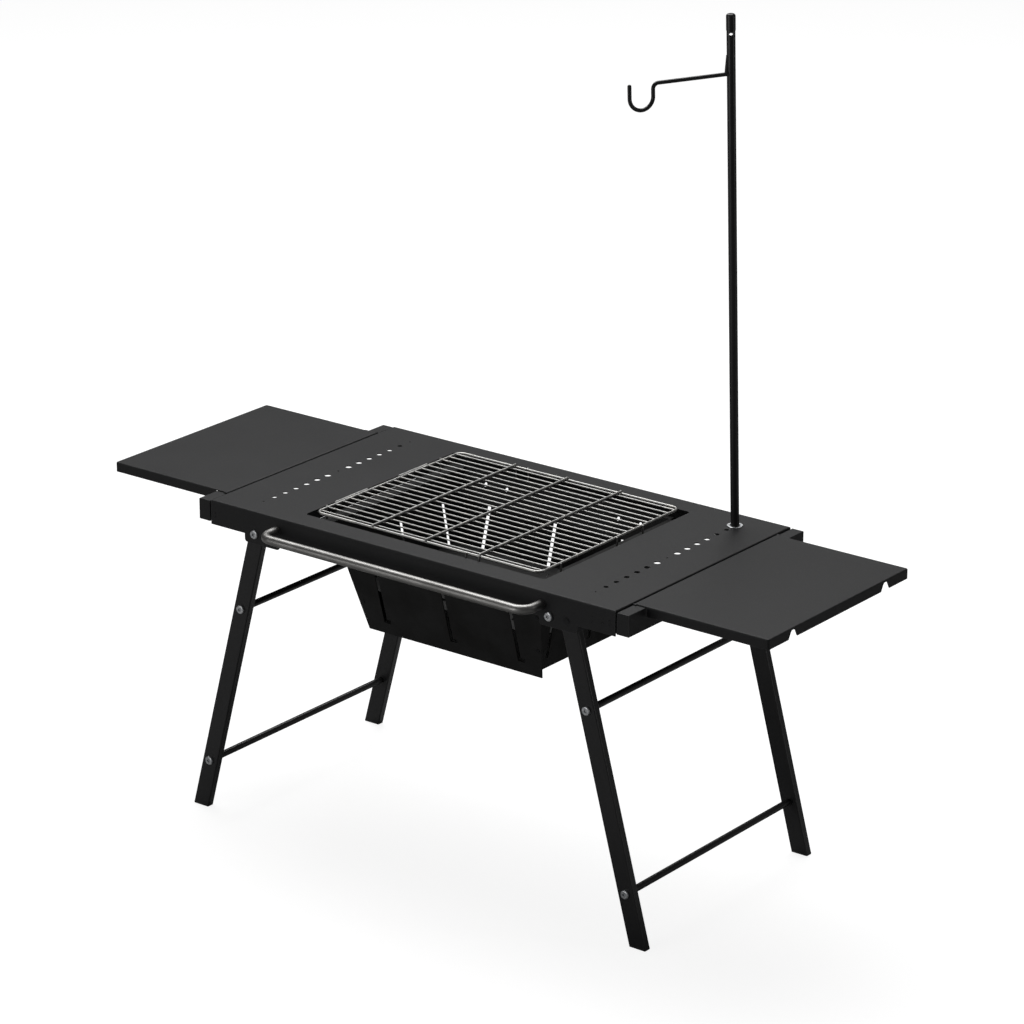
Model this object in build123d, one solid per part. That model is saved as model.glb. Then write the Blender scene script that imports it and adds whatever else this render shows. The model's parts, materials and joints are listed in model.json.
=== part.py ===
from build123d import *
import os
from math import cos, hypot, radians, sin, sqrt, tan

# Folding camp charcoal grill: a steel deck on two folding leg frames, with two folding side boards,
# a lift-out firebox and wire grate, a front rail, and a pole with a hook.
# Millimetres. +X runs along the deck, +Y to the back, +Z up. Z = 0 is the floor.
# Each piece is modelled about the middle of the deck, and moved by origin_shift when it is written,
# so that the origin is the middle of the grill's footprint.

# ---- driving dimensions -------------------------------------------------------------------------
deck_length = 590.0
deck_depth = 340.0
deck_height = 400.0
sheet = 1.2                 # sheet steel of the deck, beams, boards and firebox
fold_radius = 1.6           # outer radius of a folded edge
skirt_drop = 30.0           # front and back
end_skirt_drop = 24.0
rest_gap = 0.3              # air between pieces of different bodies that only rest on each other
running_gap = 0.05          # radial clearance of a pin in its hole

deck_land_x = 120.0          # deck left at each end of the opening
deck_land_y = 30.0
opening_corner = 4.0

beam_width = 16.2
beam_drop = 27.0
seam_gap = 2.0
beam_rivet_radius = 2.0
beam_rivet_height = 1.2
beam_rivet_inset = 14.0
skirt_rivet_radius = 0.7
skirt_rivet_lap = 0.4
skirt_rivet_height = 0.4

board_reach = 181.0         # from the deck's end to the board's outer edge
board_inset = 31.5          # from the deck's front to the board's front
board_flange = 12.0
board_corner = 2.5
notch_inset = 47.0          # from the board's front to the middle of a notch
notch_mouth = 18.0
notch_top = 9.0
notch_height = 9.5
notch_bevel = 2.0

hinge_bead_radius = 2.0     # rolled inner edge of a side board
hinge_pin_radius = 1.25

row_inset = 52.5            # from the deck's end to its row of holes
row_to_pole = 16.9           # from the last hole of a row to the pole
hole_largest = 8.2
hole_step = 0.4
hole_middle = 3.0
hole_end = 2.6
holes_per_side = 6

ear_drop = 40.0
ear_inner_reach = 37.3       # from the pivot to the ear's edge nearer the middle
ear_outer_reach = 15.7
ear_corner = 4.0

leg_angle = 15.0
leg_width = 22.0
leg_depth = 10.0
leg_wall = 1.2
leg_corner = 1.5
foot_cap = 2.0
foot_plug = 12.0
pivot_inset = 67.7           # from the deck's end to the pivot
pivot_drop = 28.0
pivot_radius = 3.0
bracket_sheet = 1.6
bracket_drop = 38.0
inner_cheek_reach = 12.0    # from the pivot to the start of the inner cheek
bar_diameter = 8.0
upper_bar_drop = 101.0      # below the pivot
lower_bar_height = 63.0

bolt_head_radius = 5.5
bolt_head_height = 3.0
bolt_shank_radius = 2.0
bolt_socket = 4.6           # across the corners
flat_head_height = 0.7
bolt_reach = 12.0           # thread inside a crossbar
side_bolt_reach = 23.3      # from the pivot to the bracket's fixing, towards the middle
nut_radius = 4.5
nut_height = 3.0

rail_diameter = 11.0
rail_wall = 1.2
rail_inset = 102.0          # from the deck's end to the rail's end
rail_reach = 35.0
rail_drop = 16.0
rail_bend = 16.0
rail_plug_length = 10.0
rail_thread = 8.0

rim_drop = 11.0             # deck top to the firebox rim's top
rim_gap_x = 3.0             # rim to opening
rim_gap_y = 2.0
tub_top_inset_x = 22.0       # from the opening's edge to the firebox wall
tub_low_inset_x = 45.0
tub_top_inset_y = 7.0
tub_bend_inset_y = 28.0
tub_low_inset_y = 57.5
tub_bend_drop = 42.0
side_wall_drop = 137.0
face_wall_drop = 149.0
face_corner = 4.0
floor_drop = 135.0
corner_flange = 10.0
slot_width = 5.0
slot_inset = 31.0            # from the firebox's lower corner to an outer slot
slot_top_drop = 43.0
slot_bottom_drop = 134.0
slot_foot = 8.0             # from the slot's middle to the end of its foot
slot_foot_height = 5.0
side_slot_inset = 2.5
air_hole_radius = 2.3
air_hole_drop = 24.0
air_hole_pair = 32.0
corner_rivet_radius = 1.6
corner_rivet_drops = (26.0, 66.0, 112.0)
grid_drop = 93.0
grid_margin = 1.5
grid_columns = 9
grid_rows = 6
grid_slot = 6.0
grid_edge = 11.0
rest_reach = 12.0           # shelf of a charcoal grid rest
rest_length = 24.0
rest_drop = 12.0
ledge_length = 24.0
ledge_reach = 6.0
ledge_rise = 8.0
ledge_inset_x = 65.0        # from the opening's corner to the middle of a ledge
ledge_inset_y = 60.0

grate_wire = 3.2
grate_inset_x = 12.0        # from the opening's edge to the middle of the frame wire
grate_inset_y = 6.0
grate_corner = 9.0
grate_lift = 3.5            # middle of the frame wire above the deck's top
cross_wire = 2.0
cross_pitch_near = 13.3     # the pitch is the nearest to this that fills the frame evenly
cross_edge = 7.65           # from the frame wire to the first thin wire
support_wire = 3.0
support_share = 0.48        # of the grate's half length, out to a side support
grip_wire = 2.8
grip_rise = 0.6
grip_shares = ((-0.724, -0.284), (0.157, 0.552))        # ends along the grate's half depth
foot_wire = 2.4
right_foot_shares = (-0.731, 0.06, 0.433)               # along the grate's half depth
left_foot_shares = (-0.836, 0.746)
face_foot_shares = (0.374, 0.488)                       # along the grate's half length

pole_radius = 5.0
pole_wall = 1.0
pole_top = 600.0            # above the deck
pole_inset_y = 36.7          # from the deck's back
pole_lean = 1.8             # degrees, towards the middle of the deck
socket_wall = 1.2
socket_depth = 46.0
pole_foot_base = 3.0
pole_foot_stem = 12.0
ring_radius = 9.5
ring_height = 1.2
flange_reach = 5.0
cap_radius = 5.4
cap_skirt = 19.0
cap_top = 3.5                # thickness of the cap's crown
hook_hole_drop = 23.5
hook_hole_radius = 2.4
hook_drop = 68.0            # arm below the pole's top
hook_wire = 4.6
hook_reach = 96.5
hook_angle = 241.5          # direction of the arm about the pole, from +X
hook_bend = 6.5
hook_radius = 14.4
hook_tip_drop = 0.5
hook_hole_turn = 65.0       # degrees, from the arm to the hole above it
fin_height = 19.0
fin_reach = 2.6
fin_width = 4.0

# ---- places that follow from the dimensions -----------------------------------------------------
half_length = deck_length / 2
half_depth = deck_depth / 2
opening_length = deck_length - 2 * deck_land_x
opening_depth = deck_depth - 2 * deck_land_y
board_depth = deck_depth - 2 * board_inset
notch_spacing = board_depth - 2 * notch_inset
rail_spread = deck_length - 2 * rail_inset
under_deck = deck_height - sheet
origin_shift = (rail_reach - bolt_head_height) / 2
row_x = half_length - row_inset
pole_y = half_depth - pole_inset_y
hole_pitch = (pole_y - row_to_pole) / holes_per_side
beam_inner = half_length + seam_gap
beam_outer = beam_inner + beam_width
beam_top = under_deck - rest_gap
hinge_x = half_length + seam_gap - rest_gap + hinge_bead_radius
hinge_z = deck_height - hinge_bead_radius
skirt_inner = half_depth - sheet
leg_front = skirt_inner - bracket_sheet - rest_gap
leg_back = leg_front - leg_depth
cheek_inner = leg_back - rest_gap
leg_slope = tan(radians(leg_angle))
pivot_x = half_length - pivot_inset
pivot_height = deck_height - pivot_drop
leg_foot_reach = pivot_x + pivot_height * leg_slope
bar_heights = {"upper": pivot_height - upper_bar_drop, "lower": lower_bar_height}
ear_inner = pivot_x - ear_inner_reach
ear_outer = pivot_x + ear_outer_reach
side_bolt_x = pivot_x - side_bolt_reach
bracket_inner = side_bolt_x - nut_radius
tub_top_half_x = opening_length / 2 - tub_top_inset_x
tub_low_half_x = opening_length / 2 - tub_low_inset_x
tub_top_half_y = opening_depth / 2 - tub_top_inset_y
tub_bend_half_y = opening_depth / 2 - tub_bend_inset_y
tub_low_half_y = opening_depth / 2 - tub_low_inset_y
slot_spacing = tub_low_half_x - slot_inset
side_slot_y = tub_low_half_y - side_slot_inset
grate_length = opening_length - 2 * grate_inset_x
grate_depth = opening_depth - 2 * grate_inset_y
cross_count = round((grate_depth - 2 * cross_edge) / cross_pitch_near) + 1
cross_pitch = (grate_depth - 2 * cross_edge) / (cross_count - 1)
rim_bottom = deck_height - rim_drop - sheet
ledge_top = rim_bottom - rest_gap
pole_head = deck_height + pole_top
socket_radius = pole_radius + running_gap + socket_wall


# ---- shapes used by more than one piece ---------------------------------------------------------
def block(x0, x1, y0, y1, z0, z1):
    """A box between two corners."""
    size = (abs(x1 - x0), abs(y1 - y0), abs(z1 - z0))
    middle = ((x0 + x1) / 2, (y0 + y1) / 2, (z0 + z1) / 2)
    return Pos(*middle) * Box(*size)


def rod(start, end, radius):
    """A round bar from one point to another."""
    start = Vector(*start)
    end = Vector(*end)
    along = end - start
    place = Plane(origin=start, z_dir=along.normalized())
    return place * Cylinder(radius, along.length, align=(Align.CENTER, Align.CENTER, Align.MIN))


def prism_xz(points, y0, y1):
    """An outline in X and Z, pulled from y0 to y1."""
    face = make_face(Polyline(*[(x, y0, z) for x, z in points], close=True))
    return extrude(face, amount=abs(y1 - y0), dir=(0, 1 if y1 > y0 else -1, 0))


def prism_yz(points, x0, x1):
    """An outline in Y and Z, pulled from x0 to x1."""
    face = make_face(Polyline(*[(x0, y, z) for y, z in points], close=True))
    return extrude(face, amount=abs(x1 - x0), dir=(1 if x1 > x0 else -1, 0, 0))


def bend_wire(points, radius, wire_radius):
    """A round wire along straight runs joined by arcs."""
    path = FilletPolyline(*points, radius=radius)
    start = Plane(origin=path @ 0, z_dir=path % 0)
    return sweep(start * Circle(wire_radius), path)


def bolt(face_point, outward, reach):
    """A button-head bolt: the head stands on face_point, and the shank runs inwards by reach."""
    place = Plane(origin=face_point, z_dir=outward)
    base = (Align.CENTER, Align.CENTER, Align.MIN)
    head = Cylinder(bolt_head_radius, bolt_head_height, align=base)
    head = fillet(head.edges().group_by(Axis.Z)[-1], bolt_head_height * 0.5)
    socket = extrude(RegularPolygon(bolt_socket / 2, 6), bolt_head_height)
    socket = Pos(0, 0, bolt_head_height * 0.45) * socket
    shank = Pos(0, 0, -reach) * Cylinder(bolt_shank_radius, reach, align=base)
    return place * (head - socket + shank)


def write(name, *solids):
    """Write one node, as one solid or as a group of separate ones."""
    placed = [Pos(0, origin_shift, 0) * solid for solid in solids]
    shape = placed[0] if len(placed) == 1 else Compound(children=placed)
    export_step(shape, "parts/" + name + ".step")


def leg_x(height):
    """Middle of a leg at a height, from the middle of the deck."""
    return leg_foot_reach - height * leg_slope


# ---- deck ---------------------------------------------------------------------------------------
def hole_row(side):
    """Places and diameters of one row of deck holes."""
    holes = [(side * row_x, 0, hole_middle)]
    for index in range(1, holes_per_side + 1):
        size = hole_largest - hole_step * (index - 1)
        holes.append((side * row_x, index * hole_pitch, size))
        holes.append((side * row_x, -index * hole_pitch, size))
    end = (holes_per_side + 1) * hole_pitch
    holes.append((side * row_x, -end, hole_end))
    if side < 0:
        holes.append((side * row_x, end, hole_end))
    return holes


def rivet_places():
    """Middle of each beam rivet, on the deck's right end, as Y and Z."""
    height = deck_height - beam_drop / 2
    reach = half_depth - beam_rivet_inset
    return [(-reach, height), (0, height), (reach, height)]


def silver_places():
    """Ear fixings with silver heads, as X, Y side and kind."""
    pivots = [(-pivot_x, -1, "pivot"), (pivot_x, 1, "pivot")]
    return pivots + [(side_bolt_x, -1, "bracket"), (-side_bolt_x, 1, "bracket")]


def black_places():
    """Ear fixings with flat black heads, as X, Y side and kind."""
    pivots = [(pivot_x, -1, "pivot"), (-pivot_x, 1, "pivot")]
    return pivots + [(-side_bolt_x, -1, "bracket"), (side_bolt_x, 1, "bracket")]


def ear_fixing_places():
    return silver_places() + black_places()


def ear(side_x, side_y):
    """A tab on the skirt, which hangs lower than the skirt beside a leg."""
    low = deck_height - ear_drop
    tab = block(
        side_x * ear_inner,
        side_x * ear_outer,
        side_y * half_depth,
        side_y * skirt_inner,
        low,
        deck_height - skirt_drop,
    )
    return fillet(tab.edges().filter_by(Axis.Y).group_by(Axis.Z)[0], ear_corner)


def deck_pan():
    low = deck_height - skirt_drop
    outer = block(-half_length, half_length, -half_depth, half_depth, low, deck_height)
    outer = fillet(outer.edges().group_by(Axis.Z)[-1], fold_radius)
    inner = block(-half_length + sheet, half_length - sheet, -skirt_inner, skirt_inner, low, under_deck)
    pan = outer - inner
    end_low = deck_height - end_skirt_drop
    for side_x in (-1, 1):
        x0 = side_x * (half_length - sheet)
        pan = pan - block(x0, side_x * (half_length + 1), -skirt_inner, skirt_inner, low, end_low)
        for side_y in (-1, 1):
            pan = pan + ear(side_x, side_y)

    mouth = extrude(RectangleRounded(opening_length, opening_depth, opening_corner), skirt_drop)
    lip_size = (opening_length + 2 * sheet, opening_depth + 2 * sheet, opening_corner + sheet)
    lip = extrude(RectangleRounded(*lip_size), under_deck - ledge_top)
    pan = pan + Pos(0, 0, ledge_top) * lip
    pan = pan - Pos(0, 0, low + sheet) * mouth

    for side in (-1, 1):
        for x, y, size in hole_row(side):
            pan = pan - rod((x, y, low), (x, y, deck_height + 1), size / 2)
        for y, z in rivet_places():
            ends = (side * (half_length - 3), y, z), (side * (half_length + 3), y, z)
            pan = pan - rod(*ends, beam_rivet_radius)
    pan = pan - lean(rod((row_x, pole_y, low), (row_x, pole_y, deck_height + 3), socket_radius))

    for x, side_y, kind in ear_fixing_places():
        radius = pivot_radius if kind == "pivot" else bolt_shank_radius
        inside = (x, side_y * (skirt_inner - 1), pivot_height)
        pan = pan - rod(inside, (x, side_y * (half_depth + 1), pivot_height), radius)
    for side in (-1, 1):
        x = side * rail_spread / 2
        z = deck_height - rail_drop
        pan = pan - rod((x, -half_depth - 1, z), (x, -skirt_inner + 1, z), bolt_shank_radius)
    for x, drop in skirt_rivet_places():
        z = deck_height - drop
        pan = pan - rod((x, -half_depth - 1, z), (x, -skirt_inner + 1, z), skirt_rivet_radius)
    return pan


def skirt_rivet_places():
    """Small rivets near the corners of the front skirt, as X and drop, set in from the deck's end."""
    right = [(32.5, 14.5), (32.5, 20.5), (18.0, 18.0), (9.5, 14.0), (9.5, 19.0)]
    left = [(6.0, 15.5), (6.0, 20.5)]
    places = [(half_length - inset, drop) for inset, drop in right]
    return places + [(inset - half_length, drop) for inset, drop in left]


def skirt_rivet(x, drop):
    z = deck_height - drop
    face = (x, -half_depth, z)
    front = (x, -half_depth - skirt_rivet_height, z)
    head = rod(face, front, skirt_rivet_radius + skirt_rivet_lap)
    return head + rod(face, (x, -skirt_inner + skirt_rivet_height, z), skirt_rivet_radius)


def end_beam(side):
    low = deck_height - beam_drop
    near = side * beam_inner
    far = side * beam_outer
    outer = block(near, far, -half_depth, half_depth, low, beam_top)
    outer = fillet(outer.edges().filter_by(Axis.Y).group_by(Axis.Z)[-1], fold_radius * 0.6)
    inner = block(
        near + side * sheet, far - side * sheet, -skirt_inner, skirt_inner, low, beam_top - sheet
    )
    beam = outer - inner
    reach = board_depth / 2 + rest_gap + bracket_sheet
    bead = hinge_bead_radius + rest_gap
    beam = beam - block(near - side, side * (hinge_x + bead), -reach, reach, hinge_z - bead, deck_height)
    for y, z in rivet_places():
        beam = beam - rod((near - side, y, z), (near + side * 3, y, z), beam_rivet_radius)
    return beam


def beam_rivet(side, y, z):
    """A rivet through the deck's end skirt and the beam's inner wall."""
    inside = half_length - sheet
    through = beam_inner + sheet
    shank = rod((side * inside, y, z), (side * through, y, z), beam_rivet_radius)
    head_start = side * (inside - beam_rivet_height)
    tail_end = side * (through + beam_rivet_height)
    head = rod((head_start, y, z), (side * inside, y, z), beam_rivet_radius * 1.8)
    tail = rod((side * through, y, z), (tail_end, y, z), beam_rivet_radius * 1.8)
    return shank + head + tail


def hinge_bearing(side, side_y):
    """A plate in the beam that holds one end of a board's hinge pin."""
    start = side_y * (board_depth / 2 + rest_gap)
    end = start + side_y * bracket_sheet
    x0 = side * (beam_inner + sheet)
    x1 = side * (beam_outer - sheet)
    low = deck_height - beam_drop + 4
    plate = block(x0, x1, start, end, low, beam_top - sheet)
    bead = hinge_bead_radius + rest_gap
    eye = block(side * beam_inner, side * (hinge_x + bead), start, end, hinge_z - bead, deck_height)
    plate = plate + eye
    hole_start = (side * hinge_x, start - side_y, hinge_z)
    hole_end = (side * hinge_x, end + side_y, hinge_z)
    return plate - rod(hole_start, hole_end, hinge_pin_radius)


def hinge_pin(side):
    reach = board_depth / 2 + rest_gap + bracket_sheet
    return rod((side * hinge_x, -reach, hinge_z), (side * hinge_x, reach, hinge_z), hinge_pin_radius)


# ---- side boards --------------------------------------------------------------------------------
def side_board(side):
    edge = half_length + board_reach
    half = board_depth / 2
    low = deck_height - board_flange
    inner_start = beam_outer + 1.5
    plate = block(side * hinge_x, side * inner_start, -half, half, under_deck, deck_height)
    outer = block(side * inner_start, side * edge, -half, half, low, deck_height)
    far = -1 if side > 0 else 0
    near = 0 if side > 0 else -1
    outer = fillet(outer.edges().filter_by(Axis.Z).group_by(Axis.X)[far], board_corner)
    top = outer.edges().group_by(Axis.Z)[-1]
    joined = top.group_by(Axis.X)[near]
    outer = fillet([edge_line for edge_line in top if edge_line not in joined], fold_radius)
    x0 = side * (inner_start - 1)
    x1 = side * (edge - sheet)
    inner = block(x0, x1, -half + sheet, half - sheet, low, under_deck)
    tray = plate + (outer - inner)
    bead_ends = (side * hinge_x, -half, hinge_z), (side * hinge_x, half, hinge_z)
    tray = tray + rod(*bead_ends, hinge_bead_radius)
    bore = (side * hinge_x, -half - 1, hinge_z), (side * hinge_x, half + 1, hinge_z)
    tray = tray - rod(*bore, hinge_pin_radius + running_gap)
    for place in (-notch_spacing / 2, notch_spacing / 2):
        outline = [
            (place - notch_mouth / 2, low - 1),
            (place + notch_mouth / 2, low - 1),
            (place + notch_top / 2, low + notch_height - notch_bevel),
            (place + notch_top / 2 - notch_bevel, low + notch_height),
            (place - notch_top / 2 + notch_bevel, low + notch_height),
            (place - notch_top / 2, low + notch_height - notch_bevel),
        ]
        tray = tray - prism_yz(outline, side * (edge - 4), side * (edge + 4))
    return tray


# ---- leg frames ---------------------------------------------------------------------------------
def leg_bracket(side_x, side_y):
    """A channel under the deck, whose cheeks hold the pivot and whose end stops the leg."""
    low = deck_height - bracket_drop
    pivot = side_x * pivot_x
    stop = leg_x(low) + leg_width / 2 / cos(radians(leg_angle)) + rest_gap
    x0 = side_x * bracket_inner
    x1 = side_x * stop
    outer_face = side_y * skirt_inner
    inner_face = side_y * cheek_inner
    far_face = inner_face - side_y * bracket_sheet
    cheek_a = block(x0, x1, outer_face, outer_face - side_y * bracket_sheet, low, under_deck)
    cheek_start = pivot - side_x * inner_cheek_reach
    cheek_b = block(cheek_start, x1, inner_face, far_face, low, under_deck)
    web = block(x0, x1, outer_face, far_face, under_deck - bracket_sheet, under_deck)
    end = block(x1, side_x * (stop + bracket_sheet), outer_face, far_face, low, under_deck)
    channel = cheek_a + cheek_b + web + end
    y0 = outer_face + side_y
    y1 = far_face - side_y
    channel = channel - rod((pivot, y0, pivot_height), (pivot, y1, pivot_height), pivot_radius)
    x = side_x * side_bolt_x
    y1 = outer_face - side_y * bracket_sheet * 1.5
    return channel - rod((x, y0, pivot_height), (x, y1, pivot_height), bolt_shank_radius)


def pivot_pin(x, side_y, silver):
    """A pin through ear, bracket and leg, with a nut on the inside."""
    face = side_y * half_depth
    end = side_y * (cheek_inner - bracket_sheet)
    tail = end - side_y * nut_height
    pin = rod((x, face, pivot_height), (x, tail, pivot_height), pivot_radius)
    nut = Plane(origin=(x, end, pivot_height), z_dir=(0, -side_y, 0)) * extrude(
        RegularPolygon(nut_radius, 6), nut_height
    )
    if silver:
        head = bolt((x, face, pivot_height), (0, side_y, 0), 0.5)
    else:
        front = (x, face + side_y * flat_head_height, pivot_height)
        head = rod((x, face, pivot_height), front, bolt_head_radius - 1)
    return pin + nut + head


def bracket_fixing(x, side_y, silver):
    """A short bolt or rivet through ear and bracket, beside the leg."""
    face = side_y * half_depth
    end = side_y * (skirt_inner - bracket_sheet)
    nut = Plane(origin=(x, end, pivot_height), z_dir=(0, -side_y, 0)) * extrude(
        RegularPolygon(nut_radius - 1, 6), nut_height
    )
    reach = abs(face - end) + nut_height
    if silver:
        return bolt((x, face, pivot_height), (0, side_y, 0), reach) + nut
    front = (x, face + side_y * flat_head_height, pivot_height)
    head = rod((x, face, pivot_height), front, bolt_head_radius - 2)
    shank = rod((x, face, pivot_height), (x, face - side_y * reach, pivot_height), bolt_shank_radius)
    return head + shank + nut


def leg_outline(inset):
    """A leg in X and Z at +X: level at the foot and round about the pivot, drawn inset all round."""
    half = leg_width / 2 - inset
    shift = half / cos(radians(leg_angle))
    foot = foot_cap
    top = pivot_height
    points = [
        (leg_x(foot) - shift, foot),
        (leg_x(foot) + shift, foot),
        (pivot_x + half * cos(radians(leg_angle)), top + half * sin(radians(leg_angle))),
        (pivot_x - half * cos(radians(leg_angle)), top - half * sin(radians(leg_angle))),
    ]
    return points, half


def leg_solid(inset):
    """The leg at +X between its two faces, less inset all round, closed over the pivot."""
    points, half = leg_outline(inset)
    y0 = leg_back + inset
    y1 = leg_front - inset
    body = prism_xz(points, y0, y1)
    if inset == 0:
        long_edges = [edge for edge in body.edges() if edge.length > pivot_height / 2]
        body = fillet(long_edges, leg_corner)
    crown = rod((pivot_x, y0, pivot_height), (pivot_x, y1, pivot_height), half)
    return body + crown


def place_leg(solid, side_x, side_y):
    """Turn a piece that was drawn for the leg at +X and +Y to another corner."""
    if side_x < 0:
        solid = mirror(solid, Plane.YZ)
    if side_y < 0:
        solid = mirror(solid, Plane.XZ)
    return solid


def leg(side_x, side_y):
    tube = leg_solid(0) - leg_solid(leg_wall)
    y0 = leg_back + leg_wall
    y1 = leg_front - leg_wall
    tube = tube - block(0, 2 * leg_foot_reach, y0, y1, 0, foot_cap + 0.01)
    across = (leg_back - 1, leg_front + 1)
    hole = pivot_radius + running_gap
    tube = tube - rod((pivot_x, across[0], pivot_height), (pivot_x, across[1], pivot_height), hole)
    for height in bar_heights.values():
        x = leg_x(height)
        tube = tube - rod((x, across[0], height), (x, across[1], height), bolt_shank_radius)
    return place_leg(tube, side_x, side_y)


def foot_cap_piece(side_x, side_y):
    """A plastic plug with a flat foot under the leg."""
    slip = 0.1
    foot_half = leg_width / 2 / cos(radians(leg_angle))
    middle = leg_x(foot_cap / 2)
    base = block(middle - foot_half, middle + foot_half, leg_back, leg_front, 0, foot_cap)
    base = fillet(base.edges().filter_by(Axis.Z), foot_cap * 0.75)
    base = fillet(base.edges().group_by(Axis.Z)[0], foot_cap * 0.4)
    slice_of_leg = block(0, 2 * leg_foot_reach, 0, half_depth, foot_cap, foot_cap + foot_plug)
    plug = leg_solid(leg_wall + slip) & slice_of_leg
    return place_leg(base + plug, side_x, side_y)


def crossbar(side_x, height):
    x = side_x * leg_x(height)
    bar = rod((x, -leg_back, height), (x, leg_back, height), bar_diameter / 2)
    for side_y in (-1, 1):
        end = side_y * leg_back
        bar = bar - rod((x, end, height), (x, end - side_y * bolt_reach, height), bolt_shank_radius)
    return bar


def leg_bolt(side_x, side_y, height):
    x = side_x * leg_x(height)
    return bolt((x, side_y * leg_front, height), (0, side_y, 0), leg_depth + bolt_reach)


# ---- front rail ---------------------------------------------------------------------------------
def front_rail():
    y = -half_depth - rail_reach + rail_diameter / 2
    z = deck_height - rail_drop
    half = rail_spread / 2
    route = [(-half, -half_depth, z), (-half, y, z), (half, y, z), (half, -half_depth, z)]
    outer = bend_wire(route, rail_bend, rail_diameter / 2)
    inner = bend_wire(route, rail_bend, rail_diameter / 2 - rail_wall)
    return outer - inner


def rail_plug(side):
    x = side * rail_spread / 2
    z = deck_height - rail_drop
    end = (x, -half_depth, z)
    plug = rod(end, (x, -half_depth - rail_plug_length, z), rail_diameter / 2 - rail_wall)
    return plug - rod(end, (x, -half_depth - rail_thread, z), bolt_shank_radius)


def rail_screw(side):
    x = side * rail_spread / 2
    z = deck_height - rail_drop
    return bolt((x, -skirt_inner, z), (0, 1, 0), rail_thread + sheet)


# ---- firebox ------------------------------------------------------------------------------------
def tub_side_x(drop):
    """Outer half width of the firebox at a drop below the deck's top."""
    slope = (tub_top_half_x - tub_low_half_x) / (side_wall_drop - rim_drop)
    return tub_top_half_x - slope * (drop - rim_drop)


def tub_face_y(drop):
    """Outer half depth of the firebox at a drop below the deck's top."""
    if drop < tub_bend_drop:
        share = (drop - rim_drop) / (tub_bend_drop - rim_drop)
        return tub_top_half_y + share * (tub_bend_half_y - tub_top_half_y)
    share = (drop - tub_bend_drop) / (face_wall_drop - tub_bend_drop)
    return tub_bend_half_y + share * (tub_low_half_y - tub_bend_half_y)


def across_x(inset, low_drop):
    """The firebox seen from the front, less inset, pulled through its whole depth."""
    top = deck_height - rim_drop
    low = deck_height - low_drop
    wide = tub_side_x(rim_drop) - inset
    narrow = tub_side_x(low_drop) - inset
    points = [(-wide, top), (wide, top), (narrow, low), (-narrow, low)]
    return prism_xz(points, -half_depth, half_depth)


def across_y(inset, low_drop):
    """The firebox seen from its end, less inset, pulled through its whole length."""
    points = []
    drops = (rim_drop, tub_bend_drop, low_drop)
    for drop in drops:
        points.append((tub_face_y(drop) - inset, deck_height - drop))
    for drop in reversed(drops):
        points.append((inset - tub_face_y(drop), deck_height - drop))
    return prism_yz(points, -half_length, half_length)


def slot_cutter(middle):
    """A vertical slot with a foot turned to +X, as an outline in X and Z."""
    top = deck_height - slot_top_drop
    low = deck_height - slot_bottom_drop
    half = slot_width / 2
    step = low + slot_foot_height
    return [
        (middle - half, top),
        (middle + half, top),
        (middle + half, step),
        (middle + slot_foot, step),
        (middle + slot_foot, low),
        (middle - half, low),
    ]


def face_normal(drop):
    """Outward normal of the back wall at a drop, as Y and Z."""
    step = 1.0
    dy = tub_face_y(drop) - tub_face_y(drop + step)
    length = hypot(dy, step)
    return step / length, -dy / length


def corner_rivet_places():
    """Rivets of the firebox corners on the back wall, as X, Y and Z of the face, and its normal."""
    places = []
    for drop in corner_rivet_drops:
        x = tub_side_x(drop) - corner_flange * 0.55
        y = tub_face_y(drop)
        ny, nz = face_normal(drop)
        for side in (-1, 1):
            places.append(((side * x, y, deck_height - drop), (0, ny, nz)))
    return places


def corner_rivet(point, normal, side_y):
    start = Vector(point[0], side_y * point[1], point[2])
    out = Vector(0, side_y * normal[1], normal[2])
    inside = start - out * (2 * sheet)
    shank = rod(start, inside, corner_rivet_radius)
    head = rod(start, (start + out * flat_head_height), corner_rivet_radius * 1.8)
    tail = rod(inside, (inside - out * flat_head_height), corner_rivet_radius * 1.5)
    return shank + head + tail


def rivet_hole(point, normal, side_y):
    start = Vector(point[0], side_y * point[1], point[2])
    out = Vector(0, side_y * normal[1], normal[2])
    return rod((start + out * 2), (start - out * 5), corner_rivet_radius)


def face_wall(side_y):
    """Front or back wall: a rim, a leaning band and a slotted panel, wider than the box inside."""
    rim = block(
        -tub_side_x(rim_drop),
        tub_side_x(rim_drop),
        side_y * (tub_top_half_y - sheet),
        side_y * (opening_depth / 2 - rim_gap_y),
        rim_bottom,
        rim_bottom + sheet,
    )
    skin = across_y(0, face_wall_drop) - across_y(sheet, face_wall_drop)
    skin = skin & block(-half_length, half_length, 0, side_y * half_depth, 0, deck_height)
    panel = skin & across_x(0, face_wall_drop)
    panel = panel + rim
    for middle in (-slot_spacing, 0, slot_spacing):
        panel = panel - prism_xz(slot_cutter(middle), 0, side_y * half_depth)
    for middle in (-slot_spacing, slot_spacing):
        for offset in (-air_hole_pair / 2, air_hole_pair / 2):
            z = deck_height - air_hole_drop
            start = (middle + offset, 0, z)
            end = (middle + offset, side_y * half_depth, z)
            panel = panel - rod(start, end, air_hole_radius)
    for point, normal in corner_rivet_places():
        panel = panel - rivet_hole(point, normal, side_y)
    return panel


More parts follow.
